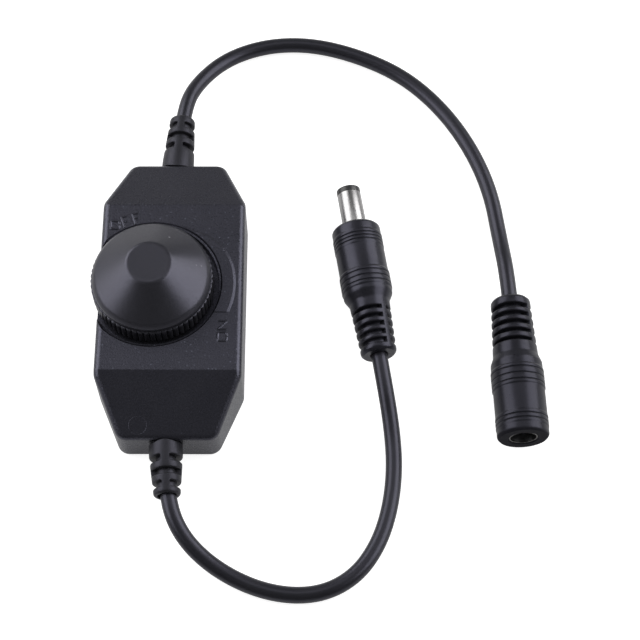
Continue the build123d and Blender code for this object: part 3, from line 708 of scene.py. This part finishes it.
def makeCrescent(v):
    # profile across: inner wall, flat top, sloped outer side; carried round the knob's axis
    turn, reach = np.array(v["outer"], float).T
    t = np.linspace(0, 1, v["rows"])[:, None]
    outer = np.interp(v["start"] + t * (v["stop"] - v["start"]), turn, reach)
    inner = np.full_like(t, v["inner"])
    width = outer - inner
    slope = np.minimum(v["slope"], width * v["slopeShare"])
    radius = np.concatenate([inner, inner + v["edge"], outer - slope, outer, outer - v["edge"]], 1)
    top = v["rise"] * np.clip(width / v["fullWidth"], v["thinnest"], 1)
    foot = np.zeros_like(t)
    lift = np.concatenate([foot - v["sink"], top, top, foot, foot - v["sink"]], 1)
    start = np.arcsin(v["low"] / radius)
    angle = start + t * (math.radians(v["stop"]) - start)
    points = aroundKnob(radius, legend["level"] + lift, angle)
    addMesh("legendCrescent", *closedGrid(points), "case", "case_plastic", sharp=10.0)


# lip of the knob's well, a low step on the slope of its edge
wellLip = {
    "inner": (14.72, 15.3),  # radius and height
    "outer": (15.12, 15.4),
    "slopeRise": 0.1,  # how much higher than its radius the slope lies
    "sink": 0.05,
    "span": 134.0,
    "rows": 180,
}


def makeWellLip(v):
    # section with a gently sloped top, carried round the knob's axis
    low = v["slopeRise"] - v["sink"]
    inner, outer = v["inner"][0], v["outer"][0]
    radius, height = np.array([(inner, inner + low), v["inner"], v["outer"], (outer, outer + low)]).T
    angle = np.radians(np.linspace(-v["span"], v["span"], v["rows"]))[:, None]
    points = aroundKnob(radius, height, angle)
    addMesh("wellLip", *closedGrid(points), "case", "case_plastic", sharp=10.0)


# faint ring that a mould pin left on the slope at the output end
mouldMark = {
    "middle": (-6.31, -31.49, 10.737),
    "slope": 23.15,
    "radius": 1.95,
    "stroke": 0.3,
    "rise": 0.018,
    "sink": 0.03,
    "columns": 72,
}


def makeMouldMark(v):
    # three-cornered section carried round a circle that lies in the slope's plane
    lean, half = math.radians(v["slope"]), v["stroke"] / 2
    up, out = (0, math.cos(lean), math.sin(lean)), (0, -math.sin(lean), math.cos(lean))
    place = [np.array(vector, float) for vector in (v["middle"], (1, 0, 0), up, out)]
    radius, height = np.array([(-half, -v["sink"]), (0, v["rise"]), (half, -v["sink"])]).T[..., None]
    angle = np.linspace(0, 2 * np.pi, v["columns"], endpoint=False)
    points = ringPoints(place, v["radius"] + radius, height, angle)
    faces = [gridFaces(len(points), v["columns"], wrapRows=True)]
    addMesh("mouldMark", points.reshape(-1, 3), faces, "case", "case_plastic", sharp=10.0)


makeLetters("legendOff", offLetters)
makeLetters("legendOn", onLetters)
makeCrescent(crescent)
makeWellLip(wellLip)
makeMouldMark(mouldMark)
print("legend raised")


# node helpers
def addNode(tree, kind, links=(), **settings):
    node = tree.nodes.new(kind)
    for label, value in settings.items():
        setattr(node, label, value)
    for socket, source in links:
        if isinstance(source, bpy.types.NodeSocket):
            tree.links.new(source, node.inputs[socket])
        else:
            node.inputs[socket].default_value = source
    return node


def calculate(tree, operation, *values):
    return addNode(tree, "ShaderNodeMath", enumerate(values), operation=operation).outputs[0]


def mapRange(tree, value, fromLow=0.0, fromHigh=1.0, toLow=0.0, toHigh=1.0):
    sockets = enumerate((value, fromLow, fromHigh, toLow, toHigh))
    return addNode(tree, "ShaderNodeMapRange", sockets).outputs[0]


def mixColors(tree, share, first, second):
    links = [(0, share), (6, first), (7, second)]  # the sockets of a colour mix
    return addNode(tree, "ShaderNodeMix", links, data_type="RGBA").outputs[2]


def objectPlace(tree):
    return addNode(tree, "ShaderNodeTexCoord").outputs["Object"]


def newGroup(name, inputs, outputs):
    tree = bpy.data.node_groups.new(name, "ShaderNodeTree")
    for label, value in inputs.items():
        tree.interface.new_socket(label, in_out="INPUT", socket_type="NodeSocketFloat").default_value = value
    for label in outputs:
        tree.interface.new_socket(label, in_out="OUTPUT", socket_type="NodeSocketFloat")
    return tree, tree.nodes.new("NodeGroupInput"), tree.nodes.new("NodeGroupOutput")


# shared grain of the moulded faces, sizes in metres
grainInputs = {
    "Grain Size": 0.0004,
    "Cloud Size": 0.006,
    "Speck Size": 0.0012,
    "Speck Share": 0.0,
    "Band Share": 0.0,  # more specks between two heights
    "Band Low": 0.0,
    "Band High": 1.0,
}
grainShape = {
    "grainDetail": 3.0,
    "cloudDetail": 2.0,
    "speckCore": 0.08,  # shares of a cell's size
    "speckEdge": 0.27,
    "speckContrast": 1.6,
}


def makeMouldGrain(v):
    # fine grit of a moulded face, slow cloudiness, and rare pale specks of dust
    tree, given, out = newGroup("mouldGrain", grainInputs, ("Grain", "Cloud", "Speck"))
    where = objectPlace(tree)

    def pattern(kind, label, *links):
        scale = calculate(tree, "DIVIDE", 1.0, given.outputs[label])
        return addNode(tree, kind, [("Vector", where), ("Scale", scale), *links])

    grain = pattern("ShaderNodeTexNoise", "Grain Size", ("Detail", v["grainDetail"]))
    cloud = pattern("ShaderNodeTexNoise", "Cloud Size", ("Detail", v["cloudDetail"]))
    cells = pattern("ShaderNodeTexVoronoi", "Speck Size")
    near = mapRange(tree, cells.outputs["Distance"], v["speckCore"], v["speckEdge"], 1.0, 0.0)
    pick = addNode(tree, "ShaderNodeSeparateColor", [(0, cells.outputs["Color"])])
    height = addNode(tree, "ShaderNodeSeparateXYZ", [(0, where)]).outputs[2]
    above = calculate(tree, "GREATER_THAN", height, given.outputs["Band Low"])
    below = calculate(tree, "LESS_THAN", height, given.outputs["Band High"])
    band = calculate(tree, "MULTIPLY", above, below)
    share = calculate(tree, "MULTIPLY_ADD", band, given.outputs["Band Share"], given.outputs["Speck Share"])
    rare = calculate(tree, "LESS_THAN", pick.outputs[0], share)
    shown = calculate(tree, "MULTIPLY", near, rare)
    strength = calculate(tree, "POWER", pick.outputs[1], v["speckContrast"])
    tree.links.new(grain.outputs[0], out.inputs["Grain"])
    tree.links.new(cloud.outputs[0], out.inputs["Cloud"])
    tree.links.new(calculate(tree, "MULTIPLY", shown, strength), out.inputs["Speck"])
    return tree


mouldGrain = makeMouldGrain(grainShape)


# finishes: what a finish leaves out it takes from the plain one
plainFinish = {
    "speckSize": 0.0012, "speckShare": 0.0, "bandShare": 0.0, "band": (0.0, 1.0), "dust": (0.3, 0.3, 0.32),
    "grainReach": (0.3, 0.7), "glossTint": (1, 1, 1), "specular": 0.5, "metal": 0.0,
}
finishes = {
    "casePlastic": {
        "dark": (0.011, 0.011, 0.014), "light": (0.018, 0.018, 0.022), "rough": (0.25, 0.36),
        "grain": 0.0004, "cloud": 0.008, "bump": 0.5, "depth": 0.00012,
        "glossTint": (0.77, 0.77, 1.0), "specular": 0.6, "speckShare": 0.01, "speckSize": 0.0008,
        "bandShare": 0.6, "band": (0.01535, 0.0159), "dust": (0.08, 0.085, 0.11),
    },
    "knobPlastic": {
        "dark": (0.012, 0.012, 0.014), "light": (0.018, 0.018, 0.021), "rough": (0.3, 0.38),
        "grain": 0.0006, "cloud": 0.01, "bump": 0.06, "depth": 0.00005,
        "glossTint": (0.8, 0.79, 1.0), "specular": 0.6, "speckShare": 0.009, "speckSize": 0.001,
        "dust": (0.2, 0.2, 0.22),
    },
    "softPlastic": {
        "dark": (0.009, 0.009, 0.011), "light": (0.014, 0.014, 0.017), "rough": (0.27, 0.35),
        "grain": 0.0005, "cloud": 0.006, "bump": 0.1, "depth": 0.00005,
        "glossTint": (0.78, 0.77, 1.0), "specular": 0.38,
    },
    "bootPlastic": {
        "dark": (0.011, 0.011, 0.012), "light": (0.016, 0.016, 0.018), "rough": (0.38, 0.48),
        "grain": 0.0005, "cloud": 0.006, "bump": 0.15, "depth": 0.00005,
        "glossTint": (0.8, 0.79, 1.0), "specular": 0.34,
    },
    # socket grip: soft plastic with less gloss, and painted shade darkening its front end
    "jackPlastic": {
        "dark": (0.009, 0.009, 0.011), "light": (0.014, 0.014, 0.017), "rough": (0.27, 0.35),
        "grain": 0.0005, "cloud": 0.006, "bump": 0.1, "depth": 0.00005,
        "glossTint": (0.78, 0.77, 1.0), "specular": 0.28,
        "front": (-0.0321, -0.0317), "frontColor": (0.004, 0.004, 0.005), "frontRough": 0.85,
    },
    "cordJacket": {
        "dark": (0.009, 0.009, 0.011), "light": (0.014, 0.014, 0.016), "rough": (0.3, 0.38),
        "grain": 0.0006, "cloud": 0.005, "bump": 0.12, "depth": 0.00005,
        "glossTint": (0.8, 0.79, 1.0), "specular": 0.46,
    },
    "nickelPlate": {
        "dark": (0.32, 0.315, 0.315), "light": (0.385, 0.38, 0.38), "rough": (0.26, 0.34),
        "grain": 0.0004, "cloud": 0.003, "bump": 0.04, "depth": 0.00002, "metal": 1.0,
    },
    # sleeve and pin inside the socket: nickel painted far darker than plated nickel as shade inside the
    # bore, with painted shade on the sleeve's front ring as well
    "boreShadedNickel": {
        "dark": (0.11, 0.11, 0.115), "light": (0.14, 0.14, 0.145), "rough": (0.3, 0.4),
        "grain": 0.0004, "cloud": 0.003, "bump": 0.04, "depth": 0.00002, "metal": 1.0,
        "front": (-0.0321, -0.0319), "frontColor": (0.08, 0.077, 0.077), "frontRough": 0.25,
    },
    "tipPlastic": {
        "dark": (0.012, 0.012, 0.013), "light": (0.018, 0.018, 0.02), "rough": (0.3, 0.36),
        "grain": 0.0005, "cloud": 0.003, "bump": 0.05, "depth": 0.00003,
    },
    "boardLaminate": {
        "dark": (0.02, 0.1, 0.05), "light": (0.03, 0.15, 0.07), "rough": (0.3, 0.4),
        "grain": 0.0008, "cloud": 0.004, "bump": 0.1, "depth": 0.00004,
    },
    "packagePlastic": {
        "dark": (0.015, 0.015, 0.015), "light": (0.025, 0.025, 0.025), "rough": (0.5, 0.6),
        "grain": 0.0003, "cloud": 0.003, "bump": 0.2, "depth": 0.00004,
    },
    "tinnedLead": {
        "dark": (0.6, 0.6, 0.6), "light": (0.72, 0.72, 0.71), "rough": (0.25, 0.4),
        "grain": 0.0003, "cloud": 0.002, "bump": 0.1, "depth": 0.00003, "metal": 1.0,
    },
    "plainAluminium": {
        "dark": (0.68, 0.68, 0.7), "light": (0.76, 0.76, 0.78), "rough": (0.3, 0.4),
        "grain": 0.0004, "cloud": 0.003, "bump": 0.08, "depth": 0.00003, "metal": 1.0,
    },
    "zincSteel": {
        "dark": (0.55, 0.56, 0.58), "light": (0.66, 0.67, 0.68), "rough": (0.3, 0.42),
        "grain": 0.0005, "cloud": 0.003, "bump": 0.08, "depth": 0.00003, "metal": 1.0,
    },
    "carbonFilm": {
        "dark": (0.015, 0.015, 0.016), "light": (0.03, 0.03, 0.032), "rough": (0.45, 0.55),
        "grain": 0.0003, "cloud": 0.002, "bump": 0.08, "depth": 0.00002,
    },
    "rotorPlastic": {
        "dark": (0.48, 0.45, 0.38), "light": (0.56, 0.53, 0.46), "rough": (0.45, 0.55),
        "grain": 0.0005, "cloud": 0.004, "bump": 0.1, "depth": 0.00004,
    },
    "springBrass": {
        "dark": (0.62, 0.42, 0.16), "light": (0.74, 0.54, 0.24), "rough": (0.25, 0.35),
        "grain": 0.0004, "cloud": 0.003, "bump": 0.06, "depth": 0.00003, "metal": 1.0,
    },
    "chipCeramic": {
        "dark": (0.3, 0.24, 0.18), "light": (0.42, 0.35, 0.27), "rough": (0.5, 0.6),
        "grain": 0.0003, "cloud": 0.002, "bump": 0.1, "depth": 0.00003,
    },
    "redInsulation": {
        "dark": (0.4, 0.015, 0.012), "light": (0.5, 0.025, 0.02), "rough": (0.4, 0.5),
        "grain": 0.0005, "cloud": 0.003, "bump": 0.08, "depth": 0.00003,
    },
    "blackInsulation": {
        "dark": (0.012, 0.012, 0.013), "light": (0.02, 0.02, 0.022), "rough": (0.4, 0.5),
        "grain": 0.0005, "cloud": 0.003, "bump": 0.08, "depth": 0.00003,
    },
}
slotFinish = {
    "case_plastic": "casePlastic", "knob_plastic": "knobPlastic", "soft_plastic": "softPlastic",
    "cord_jacket": "cordJacket", "nickel_plate": "nickelPlate", "tip_plastic": "tipPlastic",
    "board_laminate": "boardLaminate", "moulded_package": "packagePlastic", "tinned_lead": "tinnedLead",
    "bare_aluminium": "plainAluminium", "cast_bushing": "plainAluminium", "plated_steel": "zincSteel",
    "carbon_film": "carbonFilm", "rotor_plastic": "rotorPlastic", "spring_brass": "springBrass",
    "chip_ceramic": "chipCeramic", "wire_red": "redInsulation", "wire_black": "blackInsulation",
}
pieceFinish = {
    "inputBoot": "bootPlastic", "outputBoot": "bootPlastic", "jackGrip": "jackPlastic",
    "jackSleeve": "boreShadedNickel", "jackPin": "boreShadedNickel",
}


def opaque(color):
    return (*color, 1)


def makeFinish(name, values):
    # two colours by the cloud, dust by the specks, roughness and bump by the grain
    v = {**plainFinish, **values}
    material = bpy.data.materials.new(name)
    material.use_nodes = True
    tree = material.node_tree
    shader = tree.nodes["Principled BSDF"]
    sizes = {
        "Grain Size": v["grain"], "Cloud Size": v["cloud"],
        "Speck Size": v["speckSize"], "Speck Share": v["speckShare"],
        "Band Share": v["bandShare"], "Band Low": v["band"][0], "Band High": v["band"][1],
    }
    group = addNode(tree, "ShaderNodeGroup", node_tree=mouldGrain)
    for label, value in sizes.items():
        group.inputs[label].default_value = value
    color = mixColors(tree, group.outputs["Cloud"], opaque(v["dark"]), opaque(v["light"]))
    color = mixColors(tree, group.outputs["Speck"], color, opaque(v["dust"]))
    rough = mapRange(tree, group.outputs["Grain"], *v["grainReach"], *v["rough"])
    # where a finish gives a front, painted shade and another roughness are laid on the piece's front end
    if "front" in v:  # another colour and roughness on the piece's front end, below a place along Y
        along = addNode(tree, "ShaderNodeSeparateXYZ", [(0, objectPlace(tree))]).outputs[1]
        behind = mapRange(tree, along, *v["front"])
        color = mixColors(tree, behind, opaque(v["frontColor"]), color)
        rough = mapRange(tree, behind, toLow=v["frontRough"], toHigh=rough)
    links = [("Height", group.outputs["Grain"]), ("Strength", v["bump"]), ("Distance", v["depth"])]
    bump = addNode(tree, "ShaderNodeBump", links)
    tree.links.new(color, shader.inputs["Base Color"])
    tree.links.new(rough, shader.inputs["Roughness"])
    tree.links.new(bump.outputs[0], shader.inputs["Normal"])
    shader.inputs["Specular IOR Level"].default_value = v["specular"]
    shader.inputs["Specular Tint"].default_value = opaque(v["glossTint"])
    shader.inputs["Metallic"].default_value = v["metal"]
    return material


materials = {name: makeFinish(name, values) for name, values in finishes.items()}
nodeSlot = {part["node"]: part["material_slot"] for part in frame["record"]["subparts"]}
for name, node in nodes.items():
    node.data.materials.clear()
    node.data.materials.append(materials[slotFinish[nodeSlot[name]]])
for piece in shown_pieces():
    if "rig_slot" in piece:
        piece.data.materials.clear()
        piece.data.materials.append(materials[pieceFinish.get(piece.name, slotFinish[piece["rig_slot"]])])
print("finishes set")


# floor and light
studio = {
    "floorSize": 3.0,
    "floorColor": 0.6,
    "cameraGlow": 0.8,
    "cameraReach": (0.25, 0.6),
    "glossGlow": 0.24,
    "glossReach": (0.08, 0.14),
    "world": 0.1,
    "middle": (0.033, 0.0, 0.0),
}
softboxes = {
    "leftBox": {"turn": 161.5, "rise": 33.0, "away": 0.7, "width": 1.03, "height": 0.58, "radiance": 3.3},
    "rightBox": {"turn": 13.0, "rise": 34.0, "away": 0.7, "width": 0.92, "height": 0.58, "radiance": 3.65},
    "backBox": {"turn": 90.0, "rise": 16.0, "away": 0.95, "width": 1.1, "height": 0.6, "radiance": 0.18},
    "topBox": {"turn": 90.0, "rise": 75.0, "away": 0.9, "width": 0.9, "height": 0.36, "radiance": 0.85},
}


def makeFloor(v):
    half = v["floorSize"] / 2
    mesh = bpy.data.meshes.new("floor")
    corners = [(-half, -half, 0), (half, -half, 0), (half, half, 0), (-half, half, 0)]
    mesh.from_pydata(corners, [], [(0, 1, 2, 3)])
    floor = bpy.data.objects.new("floor", mesh)
    scene.collection.objects.link(floor)
    material = bpy.data.materials.new("paleFloor")
    material.use_nodes = True
    tree = material.node_tree
    tree.nodes.clear()
    out = tree.nodes.new("ShaderNodeOutputMaterial")
    diffuse = addNode(tree, "ShaderNodeBsdfDiffuse", [("Color", opaque([v["floorColor"]] * 3))])
    path = addNode(tree, "ShaderNodeLightPath")
    links = [(0, objectPlace(tree)), (1, v["middle"])]
    away = addNode(tree, "ShaderNodeVectorMath", links, operation="DISTANCE").outputs["Value"]
    # the camera sees the floor white far off, and near the object with its shadow
    white = mapRange(tree, away, *v["cameraReach"], v["cameraGlow"], 1.0)
    seen = calculate(tree, "MULTIPLY", path.outputs["Is Camera Ray"], white)
    # reflections see the floor's own glow close to the object only
    close = mapRange(tree, away, *v["glossReach"], v["glossGlow"], 0.0)
    glow = calculate(tree, "MULTIPLY_ADD", path.outputs["Is Glossy Ray"], close, seen)
    emit = addNode(tree, "ShaderNodeEmission", [("Strength", glow)])
    both = addNode(tree, "ShaderNodeAddShader", [(0, diffuse.outputs[0]), (1, emit.outputs[0])])
    tree.links.new(both.outputs[0], out.inputs["Surface"])
    mesh.materials.append(material)


def addSoftbox(name, v, middle):
    # stands off the middle by its turn and rise, and faces it
    light = bpy.data.lights.new(name, "AREA")
    light.shape = "RECTANGLE"
    light.size, light.size_y = v["width"], v["height"]
    light.energy = v["radiance"] * math.pi * v["width"] * v["height"]
    lamp = bpy.data.objects.new(name, light)
    scene.collection.objects.link(lamp)
    turn, rise = math.radians(v["turn"]), math.radians(v["rise"])
    toward = np.array([math.cos(rise) * math.cos(turn), math.cos(rise) * math.sin(turn), math.sin(rise)])
    lamp.location = np.asarray(middle) + v["away"] * toward
    lamp.rotation_euler = (math.pi / 2 - rise, 0, turn + math.pi / 2)


def makeLight(v):
    world = bpy.data.worlds.new("studio")
    scene.world = world
    world.use_nodes = True
    tree = world.node_tree
    back = tree.nodes["Background"]
    back.inputs["Color"].default_value = (1, 1, 1, 1)
    path = addNode(tree, "ShaderNodeLightPath")
    # white to the camera, dim to everything else
    seen = mapRange(tree, path.outputs["Is Camera Ray"], toLow=v["world"], toHigh=1.0)
    tree.links.new(seen, back.inputs["Strength"])
    for name, box in softboxes.items():
        addSoftbox(name, box, v["middle"])


makeFloor(studio)
makeLight(studio)
print("studio lit")
